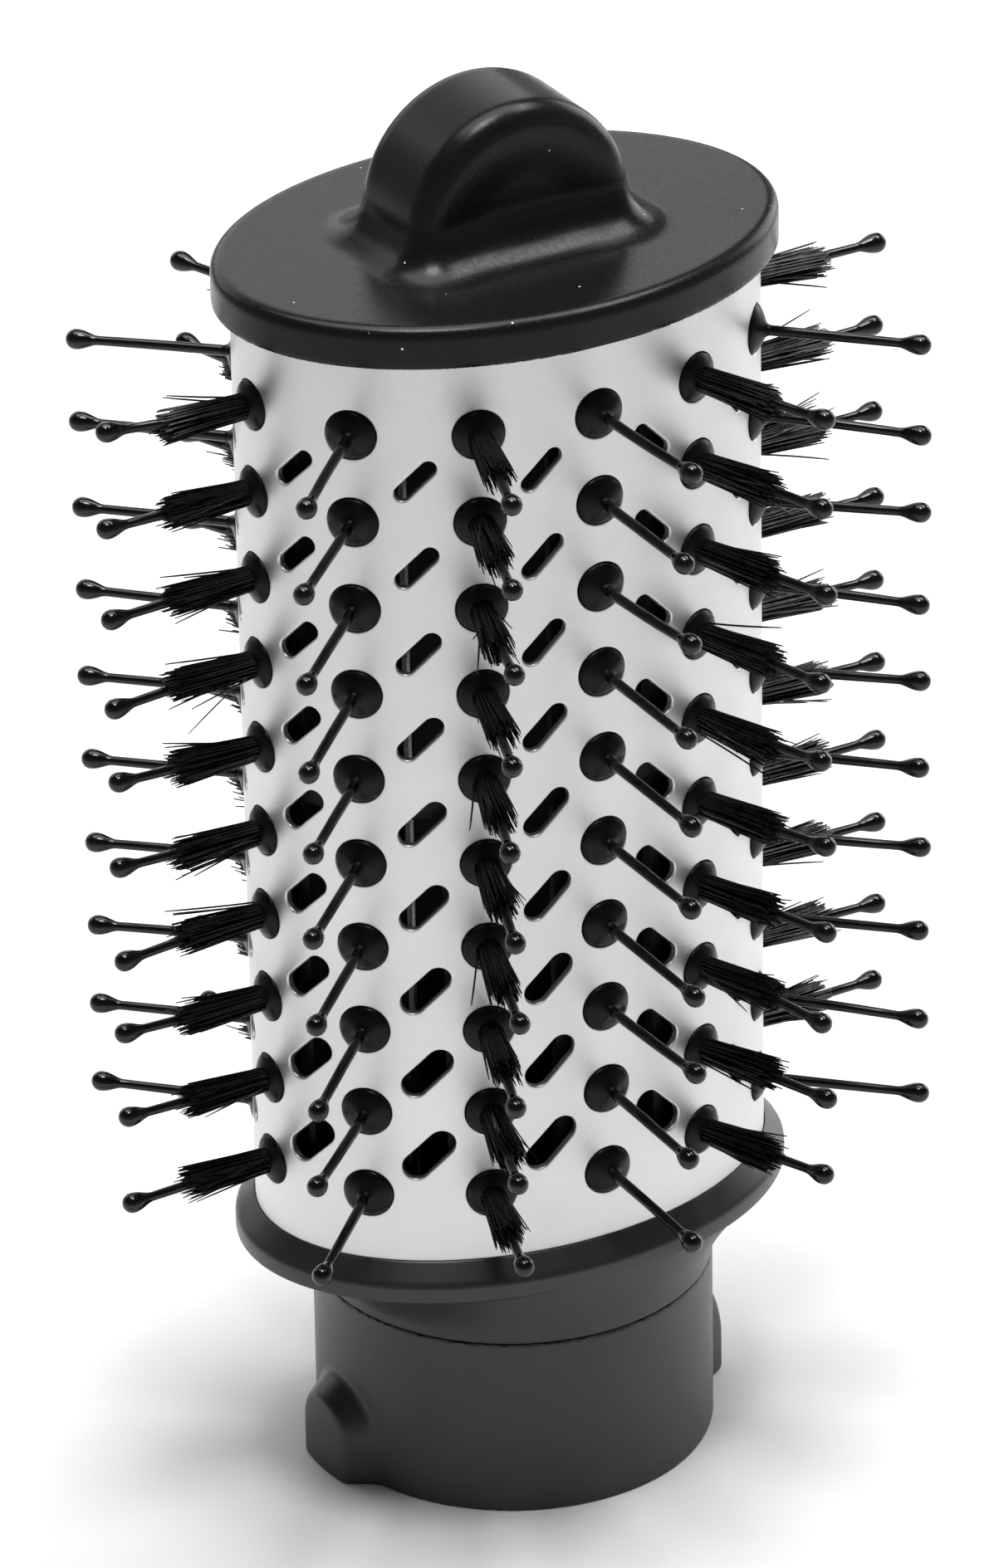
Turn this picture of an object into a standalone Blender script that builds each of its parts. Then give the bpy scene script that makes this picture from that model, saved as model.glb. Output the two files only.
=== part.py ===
"""Detachable oval brush head of a hot air brush, in metres, +Z up.

The origin is the centre of the lock collar's bottom rim. +Z runs up the barrel's axis to the cool tip,
and X is the long axis of the oval barrel.
"""

import math

import bmesh
import bpy
from mathutils import Matrix, Vector

# Driving dimensions
GAP = 0.0003  # between neighbouring pieces
BARREL_A, BARREL_B = 0.0325, 0.0230  # half axes of the barrel's outer oval
BARREL_WALL = 0.0009
BARREL_BOTTOM, BARREL_TOP = 0.0330, 0.1534
COLUMNS = 12  # of bristles, evenly spaced round the barrel, tufts and pins in turn
FACETS = 2 * COLUMNS  # one behind each column of bristles and one behind each column of slots
ROWS = 10
ROW_TOP, ROW_PITCH = 0.1427, 0.01093
PIN_REACH = 0.0207  # from the barrel to the tip of a plain pin
TUFT_PIN_REACH = 0.0198  # from the barrel to the tip of the pin in a tuft
TUFT_LENGTH, TUFT_RADIUS = 0.0120, 0.0022
PIN_RADIUS, BALL_RADIUS, BALL_LENGTH = 0.0006, 0.00125, 0.0036
BOSS_RADIUS, BOSS_RISE = 0.0027, 0.0004
HOLE_SIDES = 6
SLOT_SPINE, SLOT_SLANT = 0.0043, math.radians(45)
SLOT_WIDTH_TOP, SLOT_WIDTH_BOTTOM = 0.0018, 0.0034
RAIL_WIDTH, RAIL_THICKNESS, RAIL_OVERRUN = 0.0062, 0.0018, 0.0060
CORE_WALL = 0.0015
CAP_A, CAP_B = 0.0346, 0.0253
CAP_BOTTOM, CAP_TOP, CAP_EDGE = 0.1521, 0.1571, 0.0014
FIN_RADIUS, FIN_HALF_THICKNESS, FIN_TOP = 0.0142, 0.0060, 0.1746
FIN_EDGE, FIN_RIM, FIN_DISH = 0.0013, 0.0014, 0.0015  # rounding, rim round each dished face, depth of the dish
FIN_FOOT = ((0.0190, 0.0122, 0.0), (0.0178, 0.0108, 0.0004), (0.0160, 0.0086, 0.0014),
            (0.0148, 0.0068, 0.0034))  # half axes and height over the plate
POST_RADIUS = 0.0030
FLANGE_A, FLANGE_B = 0.0350, 0.0255
FLANGE_TOP, FLANGE_CREASE = 0.0356, 0.0310
FLANGE_EDGE = ((0.0020, 0.0002), (0.0007, 0.0009), (0.0, 0.0024))  # inset and drop of its rounded upper edge
NECK = ((0.0336, 0.0249, 0.0302), (0.0300, 0.0243, 0.0280), (0.0264, 0.0240, 0.0255))  # half axes and height
DUCT = ((0.0200, 0.0178, 0.0252), (0.0248, 0.0178, 0.0290), (0.0270, 0.0176, 0.0327))  # the same, inside
DUCT_START = 0.0220  # height at which the round bore begins to widen
SEAT_WALL, SEAT_HEIGHT = 0.0014, 0.0040  # of the rim that stands inside the barrel's foot
COLLAR_RADIUS, COLLAR_HEIGHT = 0.0240, 0.0229
COLLAR_BORE, COLLAR_SHOULDER_BORE = 0.0212, 0.0199
SPIGOT_RADIUS, SPIGOT_BORE, SPIGOT_BOTTOM = 0.0196, 0.0176, 0.0060
CLIP_ROOT = SPIGOT_RADIUS - 0.0008
BUMP_FACE_X, BUMP_FACE_HALF_WIDTH, BUMP_FACE_SPRING = 0.0267, 0.0049, 0.0046
BUMP_ROOT_X, BUMP_ROOT_HALF_WIDTH, BUMP_ROOT_SPRING = 0.0222, 0.0078, 0.0054
POCKET_HALF_WIDTH, POCKET_TOP, POCKET_OUTER = 0.0036, 0.0080, 0.0249
BAYONET_DEPTH, BAYONET_BOTTOM, BAYONET_TOP = 0.0012, 0.0042, 0.0078
BAYONET_START, BAYONET_END = math.radians(2), math.radians(44)  # from each bump
CHANNEL_DEPTH, CHANNEL_MARGIN = 0.0009, math.radians(6)
TIE_SCREW_X, TIE_SCREW_RADIUS = 0.0140, 0.0014
TIE_HEAD_RADIUS, TIE_HEAD_HEIGHT, TIE_POINT = 0.0026, 0.0022, 0.0010
TWIST = math.radians(35)  # travel of the lock collar
ROUND_SIDES = 32  # of the round pieces
PAST = 0.0010  # how far a cutter runs past the faces that it cuts

# Heights and offsets that follow from them
CORE_OFFSET = -(BARREL_WALL + GAP + RAIL_THICKNESS + GAP)  # core's outer face, from the barrel's outer face
CORE_BOTTOM = BARREL_BOTTOM
CORE_TOP = 0.1489
WINDOW_HALF_WIDTH, WINDOW_RIB = 0.0021, 0.0012
SKIRT_BOTTOM, SKIRT_THICKNESS = CORE_TOP + GAP, 0.0012
SHIELD_BOTTOM, SHIELD_TOP = CORE_TOP + GAP, CORE_TOP + GAP + 0.0015
CAP_CEILING = CAP_TOP - 0.0022
GROOVE_TOP = BARREL_TOP + GAP
WEB_BOTTOM, WEB_TOP = 0.0270, 0.0295
WEB_HALF_LENGTH, WEB_HALF_WIDTH = 0.0250, 0.0035
RING_BOTTOM, RING_TOP = 0.0137, 0.0151
RING_GRIP, RING_GAP = 0.0004, math.radians(9)  # how deep it sits in its groove, and half the gap in it
SPRING_BOTTOM, SPRING_TOP, SPRING_LEAF = 0.0095, 0.0125, 0.0005
SPRING_ANGLE, SPRING_REACH, NOSE_REACH = math.radians(90), math.radians(24), math.radians(4)
NOSE_RADIUS = COLLAR_BORE + 0.0004
SEAL_THICKNESS, SEAL_INSET = 0.0014, 0.0001

MATERIALS = {
    "barrel_aluminium": ((0.62, 0.62, 0.63), 0.35, 1.0),
    "bristle_black": ((0.012, 0.012, 0.013), 0.25, 0.0),
    "cap_black": ((0.020, 0.019, 0.022), 0.38, 0.0),
    "neck_grey": ((0.040, 0.040, 0.040), 0.55, 0.0),
    "collar_grey": ((0.040, 0.040, 0.040), 0.55, 0.0),
    "core_plastic": ((0.030, 0.030, 0.032), 0.60, 0.0),
    "shield_plastic": ((0.30, 0.26, 0.20), 0.70, 0.0),
    "steel": ((0.55, 0.55, 0.57), 0.30, 1.0),
    "seal_rubber": ((0.015, 0.015, 0.015), 0.80, 0.0),
}


def clear_scene():
    for thing in list(bpy.data.objects):
        bpy.data.objects.remove(thing, do_unlink=True)


def new_collection(name):
    group = bpy.data.collections.new(name)
    bpy.context.scene.collection.children.link(group)
    return group


def new_material(name, colour, roughness, metallic):
    material = bpy.data.materials.new(name)
    material.use_nodes = True
    shader = material.node_tree.nodes["Principled BSDF"]
    shader.inputs["Base Color"].default_value = (*colour, 1.0)
    shader.inputs["Roughness"].default_value = roughness
    shader.inputs["Metallic"].default_value = metallic
    return material


clear_scene()
HEAD = new_collection("hot_air_brush_head")
CUTTERS = new_collection("cutters")
LOOKS = {name: new_material(name, *look) for name, look in MATERIALS.items()}


def new_mesh(name, shape):
    """Mesh of a bmesh, its faces turned outward and shaded smooth between its sharp edges."""
    bmesh.ops.recalc_face_normals(shape, faces=shape.faces)
    mesh = bpy.data.meshes.new(name)
    shape.to_mesh(mesh)
    shape.free()
    mesh.shade_smooth()
    mesh.set_sharp_from_angle(angle=math.radians(35))
    return mesh


def add_piece(name, shape, look):
    """One sub-part of the head, from a bmesh."""
    piece = bpy.data.objects.new(name, new_mesh(name, shape))
    piece.data.materials.append(LOOKS[look])
    HEAD.objects.link(piece)
    return piece


def boolean(piece, shape, operation):
    """Cut a bmesh out of the piece, or join it on."""
    tool = bpy.data.objects.new(f"{piece.name}_{operation.lower()}", new_mesh(piece.name, shape))
    tool.hide_render = True
    tool.display_type = "WIRE"
    CUTTERS.objects.link(tool)
    step = piece.modifiers.new(operation.lower(), "BOOLEAN")
    step.operation = operation
    step.solver = "EXACT"
    step.object = tool


# Shapes


def oval_lengths(steps=7200):
    """Distance round the barrel's oval at each small step of its parameter angle."""
    lengths = [0.0]
    for step in range(steps):
        angle = (step + 0.5) * math.tau / steps
        speed = math.hypot(BARREL_A * math.sin(angle), BARREL_B * math.cos(angle))
        lengths.append(lengths[-1] + speed * math.tau / steps)
    return lengths


OVAL_LENGTHS = oval_lengths()


def oval_angle(share):
    """Parameter angle of the point that lies this share of the way round the barrel, from +X."""
    target = (share % 1.0) * OVAL_LENGTHS[-1]
    low, high = 0, len(OVAL_LENGTHS) - 1
    while high - low > 1:
        middle = (low + high) // 2
        if OVAL_LENGTHS[middle] <= target:
            low = middle
        else:
            high = middle
    part = (target - OVAL_LENGTHS[low]) / (OVAL_LENGTHS[high] - OVAL_LENGTHS[low])
    return (low + part) * math.tau / (len(OVAL_LENGTHS) - 1)


def facet_corner(index, offset=0.0):
    """Corner of the barrel's faceted oval, moved along the oval's normal by offset."""
    angle = oval_angle((index + 0.5) / FACETS)
    normal = Vector((math.cos(angle) / BARREL_A, math.sin(angle) / BARREL_B)).normalized()
    return Vector((BARREL_A * math.cos(angle), BARREL_B * math.sin(angle))) + normal * offset


def facet_frame(index):
    """Matrix at z = 0 whose Z points out of the facet, Y up and X along it, and how far the true oval bulges
    over the facet."""
    start, end = facet_corner(index - 1), facet_corner(index)
    middle = (start + end) / 2
    along = (end - start).normalized()
    outward = Vector((along.y, -along.x))
    angle = oval_angle(index / FACETS)
    bulge = (Vector((BARREL_A * math.cos(angle), BARREL_B * math.sin(angle))) - middle).dot(outward)
    matrix = Matrix.Identity(4)
    matrix.col[0] = (along.x, along.y, 0.0, 0.0)
    matrix.col[1] = (0.0, 0.0, 1.0, 0.0)
    matrix.col[2] = (outward.x, outward.y, 0.0, 0.0)
    matrix.col[3] = (middle.x, middle.y, 0.0, 1.0)
    return matrix, bulge


def loft(shape, sections, closed=False):
    """Skin through sections of equally many points; ends are capped unless the skin closes on itself."""
    rings = [[shape.verts.new(point) for point in section] for section in sections]
    pairs = list(zip(rings, rings[1:]))
    if closed:
        pairs.append((rings[-1], rings[0]))
    else:
        shape.faces.new(rings[0])
        shape.faces.new(rings[-1])
    for lower, upper in pairs:
        for i, j in zip(range(len(lower)), [*range(1, len(lower)), 0]):
            shape.faces.new((lower[i], lower[j], upper[j], upper[i]))


def round_ring(a, b, z, sides=ROUND_SIDES):
    """Points of an ellipse or a circle at height z, evenly stepped."""
    turns = [math.tau * i / sides for i in range(sides)]
    return [Vector((a * math.cos(turn), b * math.sin(turn), z)) for turn in turns]


def oval_ring(a, b, z):
    """Points of an ellipse or a circle at height z, in step with the corners of the barrel."""
    turns = [oval_angle((index + 0.5) / FACETS) for index in range(FACETS)]
    return [Vector((a * math.cos(turn), b * math.sin(turn), z)) for turn in turns]


def barrel_ring(offset, z):
    """The barrel's faceted oval, moved out by offset."""
    return [Vector((*facet_corner(index, offset), z)) for index in range(FACETS)]


def arc_ring(radius, z, start, end, sides):
    """Points of an arc about the Z axis."""
    turns = [start + (end - start) * i / sides for i in range(sides + 1)]
    return [Vector((radius * math.cos(turn), radius * math.sin(turn), z)) for turn in turns]


def arc_block(shape, inner, outer, bottom, top, start, end, sides):
    """A piece of a square-section ring about the Z axis, capped at both ends."""
    edges = [arc_ring(r, z, start, end, sides) for r, z in
             ((inner, bottom), (outer, bottom), (outer, top), (inner, top))]
    loft(shape, [list(section) for section in zip(*edges)])


def cylinder(shape, radius, bottom, top, x=0.0, y=0.0, sides=12):
    height = top - bottom
    place = Matrix.Translation((x, y, (bottom + top) / 2))
    bmesh.ops.create_cone(shape, cap_ends=True, segments=sides, radius1=radius, radius2=radius,
                          depth=height, matrix=place)


def box(shape, low, high, place=None):
    low, high = Vector(low), Vector(high)
    size = Matrix.Diagonal((*(high - low), 1.0))
    matrix = Matrix.Translation((low + high) / 2) @ size
    bmesh.ops.create_cube(shape, size=1.0, matrix=(place or Matrix.Identity(4)) @ matrix)


def turned(profile, sides):
    """bmesh of a profile of (radius, height) points, turned about Z, from a Screw modifier."""
    points = [(radius, 0.0, height) for radius, height in profile]
    mesh = bpy.data.meshes.new("profile")
    mesh.from_pydata(points, [(i, i + 1) for i in range(len(points) - 1)], [])
    helper = bpy.data.objects.new("profile", mesh)
    CUTTERS.objects.link(helper)
    screw = helper.modifiers.new("turn", "SCREW")
    screw.steps = screw.render_steps = sides
    screw.use_merge_vertices = True
    screw.merge_threshold = 0.00001
    result = bpy.data.meshes.new_from_object(helper.evaluated_get(bpy.context.evaluated_depsgraph_get()))
    shape = bmesh.new()
    shape.from_mesh(result)
    bmesh.ops.remove_doubles(shape, verts=shape.verts, dist=0.00001)
    bpy.data.objects.remove(helper, do_unlink=True)
    bpy.data.meshes.remove(result)
    bpy.data.meshes.remove(mesh)
    return shape


def row_height(row):
    return ROW_TOP - row * ROW_PITCH


# The barrel


def slot_cutter(shape, place, slant, width):
    """A round-ended slot, leaning by slant from upright: a prism whose two halves are drawn apart."""
    made = bmesh.ops.create_cone(shape, cap_ends=True, segments=HOLE_SIDES, radius1=width / 2,
                                 radius2=width / 2, depth=4 * BARREL_WALL)["verts"]
    for vert in made:
        vert.co.y += math.copysign(SLOT_SPINE / 2, vert.co.y)
    bmesh.ops.transform(shape, verts=made, matrix=place @ Matrix.Rotation(slant, 4, "Z"))


def barrel_cutters():
    """Ten round holes in each bristle column, and nine slots in each column between them. The slots' upper
    ends lean towards the middle of the front or back, and the slots widen towards the collar."""
    shape = bmesh.new()
    hole_radius = BOSS_RADIUS + GAP / math.cos(math.pi / HOLE_SIDES)
    half_side = Matrix.Rotation(math.pi / HOLE_SIDES, 4, "Z")
    for index in range(FACETS):
        frame, _ = facet_frame(index)
        if index % 2 == 0:
            for row in range(ROWS):
                place = frame @ Matrix.Translation((0.0, row_height(row), 0.0))
                bmesh.ops.create_cone(shape, cap_ends=True, segments=HOLE_SIDES, radius1=hole_radius,
                                      radius2=hole_radius, depth=4 * BARREL_WALL, matrix=place @ half_side)
        else:
            before_middle = index % (FACETS // 2) < FACETS // 4
            slant = -SLOT_SLANT if before_middle else SLOT_SLANT
            for row in range(ROWS - 1):
                place = frame @ Matrix.Translation((0.0, row_height(row + 0.5), 0.0))
                width = SLOT_WIDTH_TOP + (SLOT_WIDTH_BOTTOM - SLOT_WIDTH_TOP) * row / (ROWS - 2)
                slot_cutter(shape, place, slant, width)
    return shape


def make_barrel():
    shape = bmesh.new()
    loft(shape, [barrel_ring(0.0, BARREL_BOTTOM), barrel_ring(0.0, BARREL_TOP),
                 barrel_ring(-BARREL_WALL, BARREL_TOP), barrel_ring(-BARREL_WALL, BARREL_BOTTOM)], closed=True)
    barrel = add_piece("barrel", shape, "barrel_aluminium")
    boolean(barrel, barrel_cutters(), "DIFFERENCE")


# The bristle strips


def bristle_profile(reach, tufted):
    """Half section of one boss with its ball-tipped pin, and its tuft, along the outward normal."""
    root = -(BARREL_WALL + GAP + RAIL_THICKNESS / 2)
    profile = [(0.0, root), (BOSS_RADIUS, root), (BOSS_RADIUS, BOSS_RISE)]
    if tufted:
        profile += [(TUFT_RADIUS, TUFT_LENGTH), (PIN_RADIUS, TUFT_LENGTH)]
    else:
        profile += [(PIN_RADIUS, 2 * BOSS_RISE)]
    return profile + [(PIN_RADIUS, reach - BALL_LENGTH), (BALL_RADIUS, reach - BALL_RADIUS), (0.0, reach)]


def make_strip(column):
    """A rail behind the barrel's wall with a row of bristles that stand out through its holes."""
    tufted = column % 2 == 0
    name = f"{'tuft' if tufted else 'pin'}_strip_{column // 2 + 1}"
    frame, bulge = facet_frame(2 * column)
    rail = bmesh.new()
    outer = -(BARREL_WALL + GAP)
    box(rail, (-RAIL_WIDTH / 2, row_height(ROWS - 1) - RAIL_OVERRUN, outer - RAIL_THICKNESS),
        (RAIL_WIDTH / 2, ROW_TOP + RAIL_OVERRUN, outer), frame)
    piece = add_piece(name, rail, "bristle_black")
    reach = (TUFT_PIN_REACH if tufted else PIN_REACH) + bulge
    bristle = turned(bristle_profile(reach, tufted), HOLE_SIDES)
    mesh = bpy.data.meshes.new("bristle")
    bristle.to_mesh(mesh)
    bristle.free()
    bristles = bmesh.new()
    for row in range(ROWS):
        done = len(bristles.verts)
        bristles.from_mesh(mesh)
        bristles.verts.ensure_lookup_table()
        place = frame @ Matrix.Translation((0.0, row_height(row), 0.0))
        bmesh.ops.transform(bristles, verts=bristles.verts[done:], matrix=place)
    bpy.data.meshes.remove(mesh)
    boolean(piece, bristles, "UNION")


# Inside the barrel


def make_core_frame():
    """A cage that backs the rails, closed at its top, with windows that let the air out to the slots."""
    shape = bmesh.new()
    inner = CORE_OFFSET - CORE_WALL
    ceiling = CORE_TOP - CORE_WALL
    loft(shape, [barrel_ring(inner, ceiling), barrel_ring(inner, CORE_BOTTOM),
                 barrel_ring(CORE_OFFSET, CORE_BOTTOM), barrel_ring(CORE_OFFSET, CORE_TOP)])
    core = add_piece("core_frame", shape, "core_plastic")
    windows = bmesh.new()
    sill, lintel = row_height(ROWS - 1), row_height(0)
    middle = (sill + lintel) / 2
    depth = CORE_OFFSET - 2 * CORE_WALL
    for index in range(1, FACETS, 2):
        frame, _ = facet_frame(index)
        for low, high in ((sill, middle - WINDOW_RIB), (middle + WINDOW_RIB, lintel)):
            box(windows, (-WINDOW_HALF_WIDTH, low, depth), (WINDOW_HALF_WIDTH, high, CORE_OFFSET + CORE_WALL),
                frame)
    for side in (-1, 1):
        cylinder(windows, TIE_SCREW_RADIUS + GAP, ceiling - PAST, CORE_TOP + PAST, side * TIE_SCREW_X)
    boolean(core, windows, "DIFFERENCE")


def make_heat_shield():
    """An insulating plate between the hot core and the cool tip."""
    shape = bmesh.new()
    offset = -(BARREL_WALL + GAP + SKIRT_THICKNESS + GAP)
    loft(shape, [barrel_ring(offset, SHIELD_BOTTOM), barrel_ring(offset, SHIELD_TOP)])
    shield = add_piece("heat_shield", shape, "shield_plastic")
    holes = bmesh.new()
    for side in (-1, 1):
        cylinder(holes, TIE_SCREW_RADIUS + GAP, SHIELD_BOTTOM - PAST, SHIELD_TOP + PAST, side * TIE_SCREW_X)
    boolean(shield, holes, "DIFFERENCE")


def make_tie_screws():
    """Two long screws that clamp the base, core, barrel and cool tip together."""
    head_top = WEB_BOTTOM - GAP
    head_bottom = head_top - TIE_HEAD_HEIGHT
    tip = CAP_CEILING + 2 * GAP
    for name, side in (("tie_screw_left", -1), ("tie_screw_right", 1)):
        profile = [(0.0, head_bottom), (TIE_HEAD_RADIUS, head_bottom), (TIE_HEAD_RADIUS, head_top),
                   (TIE_SCREW_RADIUS, head_top), (TIE_SCREW_RADIUS, tip - TIE_POINT), (0.0, tip)]
        shape = turned(profile, 10)
        bmesh.ops.translate(shape, verts=shape.verts, vec=(side * TIE_SCREW_X, 0.0, 0.0))
        add_piece(name, shape, "steel")


# The cool tip


def fin_arch(radius, y, sides=18):
    """Half circle across the fin, at this y."""
    turns = [math.pi * i / sides for i in range(sides + 1)]
    centre = FIN_TOP - FIN_RADIUS
    return [Vector((radius * math.cos(turn), y, centre + radius * math.sin(turn))) for turn in turns]


def fin_section(radius, y):
    """The fin's arch, run down into the plate."""
    root = CAP_TOP - CAP_EDGE
    return [Vector((radius, y, root)), *fin_arch(radius, y), Vector((-radius, y, root))]


def make_cool_tip():
    """Oval cap with a half-round grip fin. Its lip and skirt hold the barrel's end between them."""
    skirt = -(BARREL_WALL + GAP)
    shape = bmesh.new()
    loft(shape, [oval_ring(CAP_A - CAP_EDGE, CAP_B - CAP_EDGE, CAP_TOP),
                 oval_ring(CAP_A - CAP_EDGE / 3, CAP_B - CAP_EDGE / 3, CAP_TOP - CAP_EDGE / 3),
                 oval_ring(CAP_A, CAP_B, CAP_TOP - CAP_EDGE),
                 oval_ring(CAP_A, CAP_B, CAP_BOTTOM),
                 barrel_ring(GAP, CAP_BOTTOM),
                 barrel_ring(GAP, GROOVE_TOP),
                 barrel_ring(skirt, GROOVE_TOP),
                 barrel_ring(skirt, SKIRT_BOTTOM),
                 barrel_ring(skirt - SKIRT_THICKNESS, SKIRT_BOTTOM),
                 barrel_ring(skirt - SKIRT_THICKNESS, CAP_CEILING)])
    cap = add_piece("cool_tip_cap", shape, "cap_black")
    posts = bmesh.new()
    for side in (-1, 1):
        cylinder(posts, POST_RADIUS, SHIELD_TOP + GAP, CAP_CEILING + GAP, side * TIE_SCREW_X)
    boolean(cap, posts, "UNION")
    fin = bmesh.new()
    half = FIN_HALF_THICKNESS
    loft(fin, [fin_section(FIN_RADIUS - FIN_EDGE, -half), fin_section(FIN_RADIUS, -half + FIN_EDGE),
               fin_section(FIN_RADIUS, half - FIN_EDGE), fin_section(FIN_RADIUS - FIN_EDGE, half)])
    boolean(cap, fin, "UNION")
    foot = bmesh.new()
    root = round_ring(*FIN_FOOT[0][:2], CAP_TOP - CAP_EDGE, 20)
    loft(foot, [root, *(round_ring(a, b, CAP_TOP + height, 20) for a, b, height in FIN_FOOT[1:])])
    boolean(cap, foot, "UNION")
    dishes = bmesh.new()
    for side in (-1, 1):
        radius = FIN_RADIUS - FIN_EDGE - FIN_RIM
        floor, mouth = side * (half - FIN_DISH), side * (half + FIN_DISH)
        loft(dishes, [fin_arch(radius - FIN_DISH, floor, 12), fin_arch(radius + FIN_DISH, mouth, 12)])
    boolean(cap, dishes, "DIFFERENCE")
    bores = bmesh.new()
    for side in (-1, 1):
        cylinder(bores, TIE_SCREW_RADIUS + GAP, SHIELD_TOP, CAP_CEILING + PAST, side * TIE_SCREW_X)
    boolean(cap, bores, "DIFFERENCE")


# The base


def make_base_neck():
    """Oval flange that takes the barrel's foot, a neck that narrows to the round collar, and the spigot."""
    groove = BARREL_BOTTOM - GAP
    seat_outer = -(BARREL_WALL + GAP)
    seat_inner = seat_outer - SEAT_WALL
    seat_top = groove + SEAT_HEIGHT
    neck_bottom = COLLAR_HEIGHT + GAP
    outside = [barrel_ring(GAP, FLANGE_TOP)]
    outside += [oval_ring(FLANGE_A - inset, FLANGE_B - inset, FLANGE_TOP - drop) for inset, drop in FLANGE_EDGE]
    outside += [oval_ring(FLANGE_A, FLANGE_B, FLANGE_CREASE), *(oval_ring(*section) for section in NECK),
                oval_ring(COLLAR_RADIUS, COLLAR_RADIUS, neck_bottom)]
    spigot = [oval_ring(radius, radius, z) for radius, z in
              ((SPIGOT_RADIUS, neck_bottom), (SPIGOT_RADIUS, RING_TOP + GAP), (CLIP_ROOT, RING_TOP + GAP),
               (CLIP_ROOT, RING_BOTTOM - GAP), (SPIGOT_RADIUS, RING_BOTTOM - GAP),
               (SPIGOT_RADIUS, SPIGOT_BOTTOM), (SPIGOT_BORE, SPIGOT_BOTTOM), (SPIGOT_BORE, DUCT_START))]
    duct = [oval_ring(*section) for section in DUCT]
    seat = [barrel_ring(offset, z) for offset, z in
            ((seat_inner, groove), (seat_inner, seat_top), (seat_outer, seat_top), (seat_outer, groove),
             (GAP, groove))]
    shape = bmesh.new()
    loft(shape, outside + spigot + duct + seat, closed=True)
    base = add_piece("base_neck", shape, "neck_grey")
    web = bmesh.new()
    box(web, (-WEB_HALF_LENGTH, -WEB_HALF_WIDTH, WEB_BOTTOM), (WEB_HALF_LENGTH, WEB_HALF_WIDTH, WEB_TOP))
    boolean(base, web, "UNION")
    holes = bmesh.new()
    for side in (-1, 1):
        cylinder(holes, TIE_SCREW_RADIUS + GAP, WEB_BOTTOM - PAST, WEB_TOP + PAST, side * TIE_SCREW_X)
    boolean(base, holes, "DIFFERENCE")


# The lock collar and what it turns on


def bump_section(side, x, half_width, spring, bottom):
    """Arch in a plane of constant x, from the bottom rim up round its top."""
    turns = [math.pi * i / 10 for i in range(11)]
    arch = [(half_width * math.cos(turn), spring + half_width * math.sin(turn)) for turn in turns]
    outline = [(half_width, bottom), *arch, (-half_width, bottom)]
    return [Vector((side * x, y, z)) for y, z in outline]


def make_lock_collar():
    """Ring that turns on the spigot: two thumb bumps outside, two bayonet pockets and a stop channel inside."""
    shoulder = RING_TOP + 2 * GAP
    profile = [(COLLAR_BORE, 0.0), (COLLAR_RADIUS, 0.0), (COLLAR_RADIUS, COLLAR_HEIGHT),
               (COLLAR_SHOULDER_BORE, COLLAR_HEIGHT), (COLLAR_SHOULDER_BORE, shoulder), (COLLAR_BORE, shoulder)]
    shape = bmesh.new()
    loft(shape, [round_ring(radius, radius, z) for radius, z in profile], closed=True)
    collar = add_piece("lock_collar", shape, "collar_grey")
    bumps = bmesh.new()
    for side in (-1, 1):
        loft(bumps, [bump_section(side, BUMP_ROOT_X, BUMP_ROOT_HALF_WIDTH, BUMP_ROOT_SPRING, 0.0),
                     bump_section(side, BUMP_FACE_X, BUMP_FACE_HALF_WIDTH, BUMP_FACE_SPRING, 0.0)])
    boolean(collar, bumps, "UNION")
    pockets, grooves, channel = bmesh.new(), bmesh.new(), bmesh.new()
    for side in (-1, 1):
        near, far = sorted((side * (COLLAR_BORE - 2 * PAST), side * POCKET_OUTER))
        box(pockets, (near, -POCKET_HALF_WIDTH, -PAST), (far, POCKET_HALF_WIDTH, POCKET_TOP))
        bump_angle = math.radians(90 + 90 * side)
        arc_block(grooves, COLLAR_BORE - PAST, COLLAR_BORE + BAYONET_DEPTH, BAYONET_BOTTOM, BAYONET_TOP,
                  bump_angle + BAYONET_START, bump_angle + BAYONET_END, 6)
    arc_block(channel, COLLAR_BORE - PAST, COLLAR_BORE + CHANNEL_DEPTH,
              SPRING_BOTTOM - 2 * GAP, SPRING_TOP + 2 * GAP,
              SPRING_ANGLE - TWIST - CHANNEL_MARGIN, SPRING_ANGLE + CHANNEL_MARGIN, 6)
    for hollow in (pockets, grooves, channel):
        boolean(collar, hollow, "DIFFERENCE")


def make_retaining_ring():
    """Split ring in the spigot's groove, under the collar's shoulder, with its gap towards -Y."""
    shape = bmesh.new()
    arc_block(shape, SPIGOT_RADIUS - RING_GRIP, COLLAR_BORE - GAP, RING_BOTTOM, RING_TOP,
              math.radians(-90) + RING_GAP, math.radians(270) - RING_GAP, 28)
    add_piece("retaining_ring", shape, "steel")


def make_detent_spring():
    """Leaf spring round the spigot, whose nose runs in the collar's stop channel."""
    shape = bmesh.new()
    inner = SPIGOT_RADIUS + GAP
    arc_block(shape, inner, inner + SPRING_LEAF, SPRING_BOTTOM, SPRING_TOP,
              SPRING_ANGLE - SPRING_REACH, SPRING_ANGLE + SPRING_REACH, 12)
    spring = add_piece("detent_spring", shape, "steel")
    nose = bmesh.new()
    arc_block(nose, inner + SPRING_LEAF / 2, NOSE_RADIUS, SPRING_BOTTOM + GAP, SPRING_TOP - GAP,
              SPRING_ANGLE - NOSE_REACH, SPRING_ANGLE + NOSE_REACH, 2)
    boolean(spring, nose, "UNION")


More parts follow.
